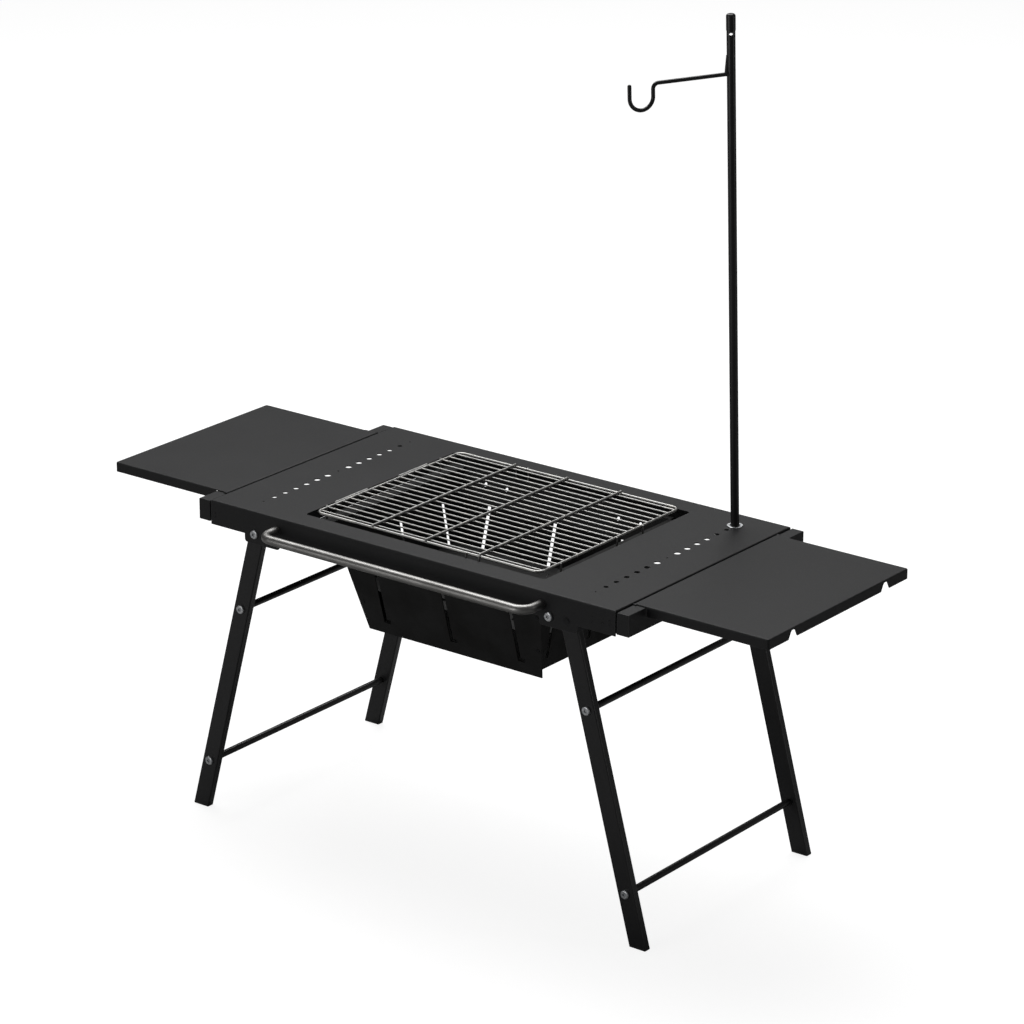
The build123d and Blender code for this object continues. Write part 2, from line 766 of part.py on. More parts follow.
def side_wall(side_x):
    """End wall: a plate between the face walls, with flanges turned in along them."""
    inside = across_y(sheet, side_wall_drop)
    plate = (across_x(0, side_wall_drop) - across_x(sheet, side_wall_drop)) & inside
    strip = across_y(sheet, side_wall_drop) - across_y(2 * sheet, side_wall_drop)
    strip = strip & (across_x(sheet, side_wall_drop) - across_x(sheet + corner_flange, side_wall_drop))
    half = block(0, side_x * half_length, -half_depth, half_depth, 0, deck_height)
    wall = (plate + strip) & half
    reach = tub_top_half_y - sheet
    rim = block(
        side_x * (tub_side_x(rim_drop) - sheet),
        side_x * (opening_length / 2 - rim_gap_x),
        -reach + 2,
        reach - 2,
        rim_bottom,
        rim_bottom + sheet,
    )
    wall = wall + rim
    for middle in (-side_slot_y, 0, side_slot_y):
        wall = wall - prism_yz(slot_cutter_short(middle), 0, side_x * half_length)
    for side_y in (-1, 1):
        for point, normal in corner_rivet_places():
            wall = wall - rivet_hole(point, normal, side_y)
    return wall


def slot_cutter_short(middle):
    """A plain vertical slot in an end wall, in Y and Z."""
    top = deck_height - slot_top_drop
    low = deck_height - slot_bottom_drop + 2 * slot_foot_height
    half = slot_width / 2
    return [(middle - half, top), (middle + half, top), (middle + half, low), (middle - half, low)]


def tub_inside(low_drop):
    """The space inside the firebox and its corner flanges."""
    return across_x(sheet, low_drop) & across_y(2 * sheet, low_drop)


def firebox_floor():
    top = deck_height - floor_drop
    plate = block(-half_length, half_length, -half_depth, half_depth, top - sheet, top)
    return plate & tub_inside(side_wall_drop)


def grid_rest(side_x, side_y):
    """A small angle on an end wall that carries the charcoal grid."""
    top = deck_height - grid_drop - rest_gap - sheet
    inner = tub_side_x(grid_drop) - rest_reach
    start = side_y * tub_low_half_y * 0.55 - rest_length / 2
    end = start + rest_length
    shelf = block(side_x * inner, side_x * half_length, start, end, top - sheet, top)
    down = block(side_x * (inner + sheet), side_x * half_length, start, end, top - rest_drop, top)
    stem = down & (across_x(sheet, side_wall_drop) - across_x(2 * sheet, side_wall_drop))
    return (shelf + stem) & tub_inside(side_wall_drop)


def charcoal_grid():
    half_x = tub_side_x(grid_drop + sheet) - sheet - grid_margin
    half_y = tub_face_y(grid_drop + sheet) - 2 * sheet - grid_margin
    top = deck_height - grid_drop
    plate = block(-half_x, half_x, -half_y, half_y, top - sheet, top)
    pitch_x = 2 * (half_x - grid_edge) / grid_columns
    pitch_y = 2 * (half_y - grid_edge) / grid_rows
    for column in range(grid_columns):
        for row in range(grid_rows):
            x = (column - (grid_columns - 1) / 2) * pitch_x
            y = (row - (grid_rows - 1) / 2) * pitch_y
            cutter = extrude(SlotOverall(pitch_x * 0.66, grid_slot), 4 * sheet)
            plate = plate - Pos(x, y, top - 3 * sheet) * cutter
    return plate


def ledge(side_x, side_y, place):
    """A small angle under the opening's lip that carries the firebox rim."""
    start = place - ledge_length / 2
    end = place + ledge_length / 2
    low = ledge_top - sheet
    if side_x:
        lip = side_x * (opening_length / 2 + sheet)
        inner = side_x * (opening_length / 2 - ledge_reach)
        outer = lip + side_x * sheet
        shelf = block(inner, outer, start, end, low, ledge_top)
        return shelf + block(lip, outer, start, end, low, ledge_top + ledge_rise)
    lip = side_y * (opening_depth / 2 + sheet)
    inner = side_y * (opening_depth / 2 - ledge_reach)
    outer = lip + side_y * sheet
    shelf = block(start, end, inner, outer, low, ledge_top)
    return shelf + block(start, end, lip, outer, low, ledge_top + ledge_rise)


# ---- grate --------------------------------------------------------------------------------------
grate_z = deck_height + grate_lift


def grate_frame():
    outline = RectangleRounded(grate_length, grate_depth, grate_corner)
    path = Pos(0, 0, grate_z) * outline.wire()
    start = Plane(origin=path @ 0, z_dir=path % 0)
    return sweep(start * Circle(grate_wire / 2), path)


def cross_wire_at(index):
    """A thin wire along X, whose ends butt on the frame wire's inner side."""
    y = (index - (cross_count - 1) / 2) * cross_pitch
    half = grate_length / 2 - grate_wire / 2
    wire = rod((-half - 1, y, grate_z), (half + 1, y, grate_z), cross_wire / 2)
    return wire


def support_wire_at(x):
    """A thicker wire along Y on top of the thin ones."""
    z = grate_z + cross_wire / 2 + support_wire / 2
    half = grate_depth / 2 + 1
    return rod((x, -half, z), (x, half, z), support_wire / 2)


def grip(y0, y1):
    """A second wire on the outside of the left frame wire, to lift the grate by."""
    apart = grate_wire / 2 + grip_wire / 2
    x = -grate_length / 2 - sqrt(apart**2 - grip_rise**2)
    return rod((x, y0, grate_z + grip_rise), (x, y1, grate_z + grip_rise), grip_wire / 2)


def grate_foot(x, y):
    """A short wire from the frame down to the firebox rim."""
    return rod((x, y, deck_height - rim_drop + rest_gap), (x, y, grate_z + grate_wire / 2), foot_wire / 2)


def grate_feet():
    reach_x = grate_length / 2 + grate_wire / 2 + foot_wire / 2
    reach_y = grate_depth / 2 + grate_wire / 2 + foot_wire / 2
    feet = [grate_foot(reach_x, share * grate_depth / 2) for share in right_foot_shares]
    feet += [grate_foot(-reach_x, share * grate_depth / 2) for share in left_foot_shares]
    for share in face_foot_shares:
        feet.append(grate_foot(share * grate_length / 2, -reach_y))
        feet.append(grate_foot(-share * grate_length / 2, reach_y))
    return feet


# ---- pole and hook ------------------------------------------------------------------------------
pole_foot_z = deck_height - socket_depth + rest_gap + socket_wall


def lean(solid):
    """Tilt a piece that was drawn about an upright pole to the pole's lean, at the deck's top."""
    return solid.rotate(Axis((row_x, pole_y, deck_height), (0, 1, 0)), -pole_lean)


def pole_socket():
    top = deck_height + ring_height
    low = deck_height - socket_depth
    tube = rod((row_x, pole_y, low), (row_x, pole_y, top), socket_radius)
    flange_low = (row_x, pole_y, under_deck - bracket_sheet)
    flange = rod(flange_low, (row_x, pole_y, under_deck), socket_radius + flange_reach)
    bore = rod((row_x, pole_y, low + socket_wall), (row_x, pole_y, top + 1), pole_radius + running_gap)
    return lean(tube) + flange - lean(bore)


def pole_ring():
    base = rod((row_x, pole_y, deck_height), (row_x, pole_y, deck_height + ring_height), ring_radius)
    base = fillet(base.edges().group_by(Axis.Z)[-1], ring_height * 0.45)
    low = deck_height - 1
    hole = rod((row_x, pole_y, low), (row_x, pole_y, deck_height + ring_height + 1), socket_radius)
    return base - lean(hole)


def pole_foot():
    """A plug in the bottom of the pole, on which it stands and turns."""
    shoulder = pole_foot_z + pole_foot_base
    base = rod((row_x, pole_y, pole_foot_z), (row_x, pole_y, shoulder), pole_radius)
    stem_radius = pole_radius - pole_wall - running_gap
    stem = rod((row_x, pole_y, shoulder), (row_x, pole_y, shoulder + pole_foot_stem), stem_radius)
    return lean(base + stem)


def hook_direction():
    return cos(radians(hook_angle)), sin(radians(hook_angle))


def pole_tube():
    low = pole_foot_z + pole_foot_base + rest_gap
    top = pole_head - cap_top
    tube = rod((row_x, pole_y, low), (row_x, pole_y, top), pole_radius)
    tube = tube - rod((row_x, pole_y, low - 1), (row_x, pole_y, top + 1), pole_radius - pole_wall)
    tube = tube - cross_hole(pole_head - hook_hole_drop, hook_hole_radius, hook_hole_turn)
    dx, dy = hook_direction()
    z = pole_head - hook_drop
    reach = 2 * pole_radius
    entry = rod((row_x, pole_y, z), (row_x + reach * dx, pole_y + reach * dy, z), hook_wire / 2)
    return lean(tube - entry)


def cross_hole(z, radius, turn):
    """A hole right through the pole, turned about it."""
    dx = cos(radians(hook_angle + turn)) * 2 * pole_radius
    dy = sin(radians(hook_angle + turn)) * 2 * pole_radius
    return rod((row_x - dx, pole_y - dy, z), (row_x + dx, pole_y + dy, z), radius)


def pole_cap():
    top = rod((row_x, pole_y, pole_head - cap_skirt), (row_x, pole_y, pole_head), cap_radius)
    top = fillet(top.edges().group_by(Axis.Z)[-1], cap_radius * 0.55)
    low = pole_head - cap_skirt - 1
    return lean(top - rod((row_x, pole_y, low), (row_x, pole_y, pole_head - cap_top), pole_radius))


def hook_arm():
    dx, dy = hook_direction()
    z = pole_head - hook_drop

    def at(reach, rise):
        return (row_x + reach * dx, pole_y + reach * dy, z + rise)

    drop = hook_radius
    corner = FilletPolyline(at(0, 0), at(hook_reach, 0), at(hook_reach, -drop), radius=hook_bend)
    bottom = at(hook_reach + hook_radius, -drop - hook_radius)
    bend = ThreePointArc(at(hook_reach, -drop), bottom, at(hook_reach + 2 * hook_radius, -drop))
    end = at(hook_reach + 2 * hook_radius, -hook_tip_drop)
    tip = Line(at(hook_reach + 2 * hook_radius, -drop), end)
    path = Wire(corner.edges() + bend.edges() + tip.edges())
    start = Plane(origin=at(0, 0), z_dir=(dx, dy, 0))
    arm = sweep(start * Circle(hook_wire / 2), path)
    return lean(arm + Pos(*end) * Sphere(hook_wire / 2))


def hook_fin():
    """A tapered rib between the pole and the top of the arm."""
    dx, dy = hook_direction()
    z = pole_head - hook_drop
    reach = pole_radius + fin_reach
    top = hook_wire / 2 + fin_height
    place = Plane(origin=(row_x, pole_y, z), x_dir=(dx, dy, 0), z_dir=(dy, -dx, 0))
    outline = Polyline((0, 0), (reach, 0), (pole_radius + 0.2, top), (0, top), close=True)
    rib = extrude(place * make_face(outline), fin_width / 2, both=True)
    rib = rib - rod((row_x, pole_y, z - 1), (row_x, pole_y, z + top + 1), pole_radius)
    end = (row_x + 2 * reach * dx, pole_y + 2 * reach * dy, z)
    return lean(rib - rod((row_x, pole_y, z), end, hook_wire / 2))


# ---- write every node ---------------------------------------------------------------------------
def main():
    os.makedirs("parts", exist_ok=True)
    sides = (-1, 1)
    names = {-1: "left", 1: "right"}
    faces = {-1: "front", 1: "back"}

    write("deck_pan", deck_pan())
    write("beam_rivets", *[beam_rivet(side, y, z) for side in sides for y, z in rivet_places()])
    write("skirt_rivets", *[skirt_rivet(x, drop) for x, drop in skirt_rivet_places()])
    write("leg_brackets", *[leg_bracket(a, b) for a in sides for b in sides])
    silver = silver_places()
    black = black_places()
    write("pivot_bolts", *[pivot_pin(x, b, True) for x, b, kind in silver if kind == "pivot"])
    write("bracket_bolts", *[bracket_fixing(x, b, True) for x, b, kind in silver if kind == "bracket"])
    write("pivot_rivets", *[pivot_pin(x, b, False) for x, b, kind in black if kind == "pivot"])
    write("bracket_rivets", *[bracket_fixing(x, b, False) for x, b, kind in black if kind == "bracket"])
    write("hinge_bearings", *[hinge_bearing(a, b) for a in sides for b in sides])
    write("hinge_pins", *[hinge_pin(side) for side in sides])

    for side in sides:
        name = names[side]
        write("end_beam_" + name, end_beam(side))
        write("side_board_" + name, side_board(side))
        for face in sides:
            write("leg_" + name + "_" + faces[face], leg(side, face))
        for level, height in bar_heights.items():
            write("crossbar_" + name + "_" + level, crossbar(side, height))
        write("foot_caps_" + name, *[foot_cap_piece(side, face) for face in sides])
        bolts = [leg_bolt(side, face, z) for face in sides for z in bar_heights.values()]
        write("leg_bolts_" + name, *bolts)
        write("firebox_wall_" + name, side_wall(side))

    write("front_rail", front_rail())
    write("rail_plugs", *[rail_plug(side) for side in sides])
    write("rail_screws", *[rail_screw(side) for side in sides])

    for face in sides:
        write("firebox_wall_" + faces[face], face_wall(face))
    write("firebox_floor", firebox_floor())
    corners = corner_rivet_places()
    write("firebox_rivets", *[corner_rivet(p, n, face) for face in sides for p, n in corners])
    write("grid_rests", *[grid_rest(a, b) for a in sides for b in sides])
    write("charcoal_grid", charcoal_grid())
    along_x = opening_length / 2 - ledge_inset_x
    along_y = opening_depth / 2 - ledge_inset_y
    ledges = [ledge(a, 0, b * along_y) for a in sides for b in sides]
    ledges += [ledge(0, b, a * along_x) for a in sides for b in sides]
    write("firebox_ledges", *ledges)

    write("grate_frame", grate_frame())
    frame = grate_frame()
    write("grate_cross_wires", *[cross_wire_at(index) - frame for index in range(cross_count)])
    aside = support_share * grate_length / 2
    supports = [support_wire_at(x) - frame for x in (-aside, 0, aside)]
    write("grate_support_wires", *supports)
    write("grate_grips", *[grip(a * grate_depth / 2, b * grate_depth / 2) for a, b in grip_shares])
    write("grate_feet", *grate_feet())

    write("pole_socket", pole_socket())
    write("pole_ring", pole_ring())
    write("pole_foot", pole_foot())
    write("pole_tube", pole_tube())
    write("pole_cap", pole_cap())
    write("hook_arm", hook_arm())
    write("hook_fin", hook_fin())


main()
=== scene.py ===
"""Looks of the folding camp grill: finishes of its metal parts, weld beads, floor, light and camera.

Laid out as an add-on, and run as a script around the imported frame. Metres, in the frame of the CAD model.
"""

import json
import math

import bmesh
import bpy
from bpy.props import FloatProperty, FloatVectorProperty, IntProperty, PointerProperty
from mathutils import Matrix, Vector


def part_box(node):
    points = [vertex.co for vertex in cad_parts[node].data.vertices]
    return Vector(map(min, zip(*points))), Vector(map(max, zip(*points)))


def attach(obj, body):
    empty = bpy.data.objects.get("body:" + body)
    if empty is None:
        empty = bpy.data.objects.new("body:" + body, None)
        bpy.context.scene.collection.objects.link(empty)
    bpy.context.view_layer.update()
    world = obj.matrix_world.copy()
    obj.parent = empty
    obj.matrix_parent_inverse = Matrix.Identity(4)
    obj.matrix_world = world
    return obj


bl_info = {
    "name": "Folding Camp Grill",
    "version": (1, 0, 0),
    "blender": (4, 5, 0),
    "location": "3D View > Sidebar > Grill",
    "description": "Finishes, welds, floor, light and camera of a folding camp grill",
    "category": "Object",
}

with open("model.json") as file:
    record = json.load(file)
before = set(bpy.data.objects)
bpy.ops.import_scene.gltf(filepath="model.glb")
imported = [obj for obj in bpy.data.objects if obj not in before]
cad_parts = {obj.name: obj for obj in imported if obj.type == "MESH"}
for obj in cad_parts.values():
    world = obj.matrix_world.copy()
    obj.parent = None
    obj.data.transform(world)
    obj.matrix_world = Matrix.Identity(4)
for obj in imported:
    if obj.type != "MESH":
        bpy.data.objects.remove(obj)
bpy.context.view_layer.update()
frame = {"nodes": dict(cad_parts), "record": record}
MM = 0.001
SAME_POINT = 0.001 * MM
SENSOR_WIDTH = 36
WHITE = (1, 1, 1, 1)
FLOOR_WIDTH = 60
FLOOR_PAINT = (0.3, 0.3, 0.3, 1)
FLOOR_GLOW = 0.87


# ---- colours ------------------------------------------------------------------------------------
def linear(hex_colour):
    """An sRGB hex colour, such as "8a8d90", as linear red, green, blue and alpha, by the standard's curve."""
    channels = [int(hex_colour[i : i + 2], 16) / 255 for i in (0, 2, 4)]
    parts = [c / 12.92 if c <= 0.04045 else ((c + 0.055) / 1.055) ** 2.4 for c in channels]
    return (*parts, 1.0)


def colour_property(name, description, hex_colour):
    """A colour swatch for a PropertyGroup."""
    return FloatVectorProperty(
        name=name, description=description, subtype="COLOR", size=4, min=0, max=1, default=linear(hex_colour)
    )


# ---- what a user would change -------------------------------------------------------------------
class GrillColours(bpy.types.PropertyGroup):
    """Base colour of each finish"""

    sheet_coat: colour_property("Sheet coat", "Powder coat on the deck, the beams and the boards", "202021")
    tube_coat: colour_property("Tube coat", "Powder coat on the legs, bars, pole and hook", "1d1d1e")
    stove_paint: colour_property("Stove paint", "Heat-resistant paint on the firebox", "292929")
    blackened: colour_property("Blackened steel", "Brackets, black rivets and hinge pins", "1a1a1b")
    rail_steel: colour_property("Rail steel", "Brushed steel of the front rail", "8a8987")
    wire_plating: colour_property("Wire plating", "Nickel-chrome plating on the grate's wires", "a6a6a4")
    zinc: colour_property("Zinc", "Bright zinc on bolts, rivets and the pole's ring", "e6e7e8")
    foot_plastic: colour_property("Foot plastic", "Moulded caps of the feet and the pole's foot", "151516")


class GrillSizes(bpy.types.PropertyGroup):
    """Sizes of the surface patterns and of the welds"""

    peel_size: FloatProperty(
        name="Orange peel",
        description="Width of one dimple of the powder coat, in millimetres",
        default=1.8,
        min=0.2,
    )
    # This band also sets the width of the powder coat's painted edge highlight, not only where the coat is
    # thin.
    edge_width: FloatProperty(
        name="Edge width",
        description="Band along an edge where the coat is thin, in millimetres",
        default=1.1,
        min=0.1,
    )
    brush_pitch: FloatProperty(
        name="Brush pitch",
        description="Spacing of the brushing lines on steel, in millimetres",
        default=0.7,
        min=0.1,
    )
    weld_bead: FloatProperty(
        name="Weld bead",
        description="Radius of a spot weld on the grate",
        default=1.0 * MM,
        min=0,
        unit="LENGTH",
    )
    hook_wire: FloatProperty(
        name="Hook wire", description="Diameter of the hook's arm", default=4.6 * MM, min=0, unit="LENGTH"
    )
    hook_weld_reach: FloatProperty(
        name="Hook weld",
        description="From the pole's middle to the weld",
        default=5.1 * MM,
        min=0,
        unit="LENGTH",
    )
    weld_rings: IntProperty(
        name="Weld rings", description="Rings of faces on a spot weld", default=6, min=3, max=16
    )


class GrillStudio(bpy.types.PropertyGroup):
    """Camera and lights"""

    azimuth: FloatProperty(
        name="Azimuth",
        description="Camera's turn to the right of the front",
        subtype="ANGLE",
        default=math.radians(37.75),
    )
    elevation: FloatProperty(
        name="Elevation",
        description="Camera's angle above level",
        subtype="ANGLE",
        default=math.radians(19.85),
    )
    distance: FloatProperty(
        name="Distance", description="Camera to the deck's middle", unit="LENGTH", default=4.841
    )
    aim_right: FloatProperty(
        name="Aim right", description="Aim, to the right of the deck's middle", unit="LENGTH", default=0.0162
    )
    aim_up: FloatProperty(
        name="Aim up", description="Aim, above the deck's middle", unit="LENGTH", default=0.0013
    )
    lens: FloatProperty(
        name="Lens", description="Focal length in millimetres on a 36 mm sensor", default=146.31, min=10
    )
    key_power: FloatProperty(
        name="Key light", description="Power of the overhead softbox", unit="POWER", default=142
    )
    fill_power: FloatProperty(
        name="Fill light", description="Power of the front softbox", unit="POWER", default=36
    )
    rim_power: FloatProperty(
        name="Rim light", description="Power of the strip lamp at the right", unit="POWER", default=9
    )
    sky_strength: FloatProperty(
        name="Room light", description="Even light from all around", default=0.1, min=0
    )


# ---- node and material helpers ------------------------------------------------------------------
def add(tree, kind, settings=None, links=None):
    """Add a node. Settings are its properties, and links its inputs, as values or as sockets."""
    node = tree.nodes.new(kind)
    for name, value in (settings or {}).items():
        setattr(node, name, value)
    for key, value in (links or {}).items():
        if isinstance(value, bpy.types.NodeSocket):
            tree.links.new(value, node.inputs[key])
        else:
            node.inputs[key].default_value = value
    return node


def new_material(name):
    """An empty material, its node tree, and the object coordinates in millimetres."""
    material = bpy.data.materials.new(name)
    material.use_nodes = True
    tree = material.node_tree
    tree.nodes.clear()
    place = add(tree, "ShaderNodeTexCoord").outputs["Object"]
    scaled = add(tree, "ShaderNodeVectorMath", {"operation": "SCALE"}, {0: place, "Scale": 1 / MM})
    return material, tree, scaled.outputs[0]


def close_material(tree, shader):
    """Join the finished shader to the material's output."""
    add(tree, "ShaderNodeOutputMaterial", links={"Surface": shader.outputs[0]})


def cloud(tree, place, size, detail=2.0):
    """Noise whose lumps are about size millimetres across, from 0 to 1."""
    links = {"Vector": place, "Scale": 1 / size, "Detail": detail}
    return add(tree, "ShaderNodeTexNoise", links=links).outputs["Fac"]


def spread(tree, value, low, high, start=0.3, end=0.7):
    """Stretch a noise value to run from low to high."""
    links = {"Value": value, "From Min": start, "From Max": end, "To Min": low, "To Max": high}
    return add(tree, "ShaderNodeMapRange", {"clamp": True}, links).outputs[0]


def tint(tree, share, colour, other):
    """Mix two colours by a share."""
    node = add(tree, "ShaderNodeMix", {"data_type": "RGBA"}, {0: share, 6: colour, 7: other})
    return node.outputs[2]


def edge_share(tree, width):
    """1 on an edge and 0 on a flat, from how far a rounded normal turns away from the true one.

    The width is in millimetres.
    """
    full_turn, no_turn = 0.80, 0.985
    rounded = add(tree, "ShaderNodeBevel", {"samples": 4}, {"Radius": width * MM}).outputs[0]
    true = add(tree, "ShaderNodeNewGeometry").outputs["Normal"]
    product = add(tree, "ShaderNodeVectorMath", {"operation": "DOT_PRODUCT"}, {0: rounded, 1: true})
    along = product.outputs["Value"]
    return spread(tree, along, 1.0, 0.0, start=full_turn, end=no_turn)


def lighter(colour, share):
    """A colour moved some way towards white."""
    return (*[c + (1 - c) * share for c in colour[:3]], 1.0)


# ---- materials ----------------------------------------------------------------------------------
def powder_coat(name, colour, roughness, specular, sizes, peel=1.0):
    """Polyester powder coat, sprayed and baked.

    A soft, even black with a fine orange peel that breaks the highlights up, slightly uneven in gloss from
    sheet to sheet, and a little lighter along a fold or a cut edge, partly where the coat draws thin and
    partly as a painted edge highlight that stands in for the sheen of the rounded edge.
    The real peel is about 0.5 mm wide, and is drawn coarser so that it shows.
    """
    material, tree, place = new_material(name)
    base = tuple(colour)
    peel_height = cloud(tree, place, size=sizes.peel_size, detail=3.0)
    handling = cloud(tree, place, size=55.0, detail=4.0)
    grit = cloud(tree, place, size=0.9, detail=1.0)
    gloss = spread(tree, handling, roughness - 0.012, roughness + 0.015)
    thin_coat_and_edge_sheen = edge_share(tree, sizes.edge_width)
    mottled = tint(tree, spread(tree, handling, 0.0, 1.0), base, lighter(base, 0.003))
    grain = tint(tree, spread(tree, grit, 0.0, 0.6, start=0.55, end=0.75), mottled, lighter(base, 0.02))
    # Lighter along edges: partly the coat drawn thin, partly a painted edge highlight standing in for sheen.
    skin = tint(tree, thin_coat_and_edge_sheen, grain, lighter(base, 0.05))
    relief = {"Height": peel_height, "Strength": 0.16 * peel, "Distance": 0.05 * MM}
    bump = add(tree, "ShaderNodeBump", links=relief).outputs[0]
    shader = add(
        tree,
        "ShaderNodeBsdfPrincipled",
        links={
            "Base Color": skin,
            "Roughness": gloss,
            "Normal": bump,
            "Specular IOR Level": specular,
            "IOR": 1.5,
        },
    )
    close_material(tree, shader)
    return material


def stove_paint(colour):
    """Silicone heat-resistant paint, sprayed on the firebox.

    Dead matt and sooty: almost no highlight, a fine dry speckle, and darker patches where it has been hot.
    """
    material, tree, place = new_material("silicone_stove_paint")
    base = tuple(colour)
    patches = cloud(tree, place, size=42.0, detail=5.0)
    speckle = cloud(tree, place, size=1.1, detail=2.0)
    scorched = linear("1c1b1a")
    soot = linear("222120")
    heated = tint(tree, spread(tree, patches, 0.0, 0.7, start=0.42, end=0.7), base, scorched)
    skin = tint(tree, spread(tree, speckle, 0.0, 0.5, start=0.5, end=0.75), heated, soot)
    gloss = spread(tree, patches, 0.62, 0.78)
    relief = {"Height": speckle, "Strength": 0.25, "Distance": 0.06 * MM}
    bump = add(tree, "ShaderNodeBump", links=relief).outputs[0]
    shader = add(
        tree,
        "ShaderNodeBsdfPrincipled",
        links={
            "Base Color": skin,
            "Roughness": gloss,
            "Normal": bump,
            "Specular IOR Level": 0.14,
            "IOR": 1.45,
        },
    )
    close_material(tree, shader)
    return material


def blackened_steel(colour):
    """Mild steel, pressed and black-oxide finished.

    A thin dark film over metal: soft grey sheen, a little oily, with lighter rubbed edges.
    """
    material, tree, place = new_material("black_oxide_steel")
    base = tuple(colour)
    oil = cloud(tree, place, size=9.0, detail=4.0)
    rubbed = edge_share(tree, width=0.6)
    oily = linear("262628")
    bare = linear("45464a")
    film = tint(tree, spread(tree, oil, 0.0, 1.0), base, oily)
    skin = tint(tree, rubbed, film, bare)
    gloss = spread(tree, oil, 0.36, 0.52)
    shader = add(
        tree,
        "ShaderNodeBsdfPrincipled",
        links={
            "Base Color": skin,
            "Roughness": gloss,
            "Metallic": 0.55,
            "Specular IOR Level": 0.35,
        },
    )
    close_material(tree, shader)
    return material


def brushed_stainless(colour, pitch):
    """Stainless tube, drawn and belt-brushed along its length.

    Fine lines run with the tube, so the light stretches into long bright streaks between darker grey ones.
    The real lines are about 0.1 mm apart, and are drawn coarser so that they show.
    """
    material, tree, place = new_material("brushed_stainless_tube")
    base = tuple(colour)
    stretch = (0.02, 1.0, 1.0)
    across = add(tree, "ShaderNodeVectorMath", {"operation": "MULTIPLY"}, {0: place, 1: stretch}).outputs[0]
    lines = cloud(tree, across, size=pitch, detail=2.0)
    stains = cloud(tree, place, size=30.0, detail=3.0)
    groove = linear("7d7c7a")
    pale = linear("b5b4b2")
    metal = tint(tree, spread(tree, lines, 0.0, 1.0), base, groove)
    skin = tint(tree, spread(tree, stains, 0.0, 0.35), metal, pale)
    gloss = spread(tree, lines, 0.34, 0.5)
    relief = {"Height": lines, "Strength": 0.12, "Distance": 0.03 * MM}
    bump = add(tree, "ShaderNodeBump", links=relief).outputs[0]
    shader = add(
        tree,
        "ShaderNodeBsdfPrincipled",
        links={
            "Base Color": skin,
            "Roughness": gloss,
            "Normal": bump,
            "Metallic": 1.0,
        },
    )
    close_material(tree, shader)
    return material


def chrome_plated_wire(colour):
    """Drawn steel wire, welded and then satin nickel-chrome plated.

    An even silver line along the top of each wire, with a faint ripple from the drawing die
    and paler, slightly yellow stretches.
    """
    material, tree, place = new_material("chrome_plated_wire")
    base = tuple(colour)
    ripple = cloud(tree, place, size=2.6, detail=2.0)
    dull = cloud(tree, place, size=16.0, detail=3.0)
    yellowed = linear("c2c0bb")
    skin = tint(tree, spread(tree, dull, 0.0, 0.8, start=0.45, end=0.75), base, yellowed)
    gloss = spread(tree, dull, 0.34, 0.42)
    relief = {"Height": ripple, "Strength": 0.06, "Distance": 0.05 * MM}
    bump = add(tree, "ShaderNodeBump", links=relief).outputs[0]
    shader = add(
        tree,
        "ShaderNodeBsdfPrincipled",
        links={
            "Base Color": skin,
            "Roughness": gloss,
            "Normal": bump,
            "Metallic": 1.0,
        },
    )
    close_material(tree, shader)
    return material


def bright_zinc(colour):
    """Steel screws and rings, cold-formed and bright zinc plated.

    Silver with a cool, slightly grey bloom, and fine turning marks that soften the highlights.
    """
    material, tree, place = new_material("bright_zinc_steel")
    base = tuple(colour)
    bloom = cloud(tree, place, size=3.0, detail=3.0)
    marks = cloud(tree, place, size=0.6, detail=1.0)
    cool_grey = linear("8f9499")
    skin = tint(tree, spread(tree, bloom, 0.0, 0.8), base, cool_grey)
    gloss = spread(tree, bloom, 0.3, 0.45)
    relief = {"Height": marks, "Strength": 0.1, "Distance": 0.03 * MM}
    bump = add(tree, "ShaderNodeBump", links=relief).outputs[0]
    shader = add(
        tree,
        "ShaderNodeBsdfPrincipled",
        links={
            "Base Color": skin,
            "Roughness": gloss,
            "Normal": bump,
            "Metallic": 1.0,
        },
    )
    close_material(tree, shader)
    return material


def moulded_polyethylene(colour):
    """Polyethylene caps, injection moulded.

    A soft waxy black with a fine spark-eroded grain, and scuffed paler where it meets the ground.
    """
    material, tree, place = new_material("moulded_polyethylene")
    base = tuple(colour)
    grain = cloud(tree, place, size=0.8, detail=2.0)
    scuffs = cloud(tree, place, size=6.0, detail=5.0)
    scuffed = linear("2a2a2b")
    skin = tint(tree, spread(tree, scuffs, 0.0, 0.8, start=0.5, end=0.75), base, scuffed)
    gloss = spread(tree, scuffs, 0.45, 0.6)
    relief = {"Height": grain, "Strength": 0.25, "Distance": 0.05 * MM}
    bump = add(tree, "ShaderNodeBump", links=relief).outputs[0]
    shader = add(
        tree,
        "ShaderNodeBsdfPrincipled",
        links={
            "Base Color": skin,
            "Roughness": gloss,
            "Normal": bump,
            "Specular IOR Level": 0.4,
            "IOR": 1.51,
        },
    )
    close_material(tree, shader)
    return material


# ---- finishing CAD nodes ------------------------------------------------------------------------
def finish_nodes(material, *names):
    """Give each CAD node one material."""
    for name in names:
        node = frame["nodes"][name]
        for slot in node.material_slots:
            slot.material = material


def sided(*patterns):
    """Node names for the left and the right of the grill."""
    return [pattern.format(side) for pattern in patterns for side in ("left", "right")]


# ---- pieces made here ---------------------------------------------------------------------------
def centre_of(node):
    """Middle of a CAD node's box."""
    low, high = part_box(node)
    return (low + high) / 2


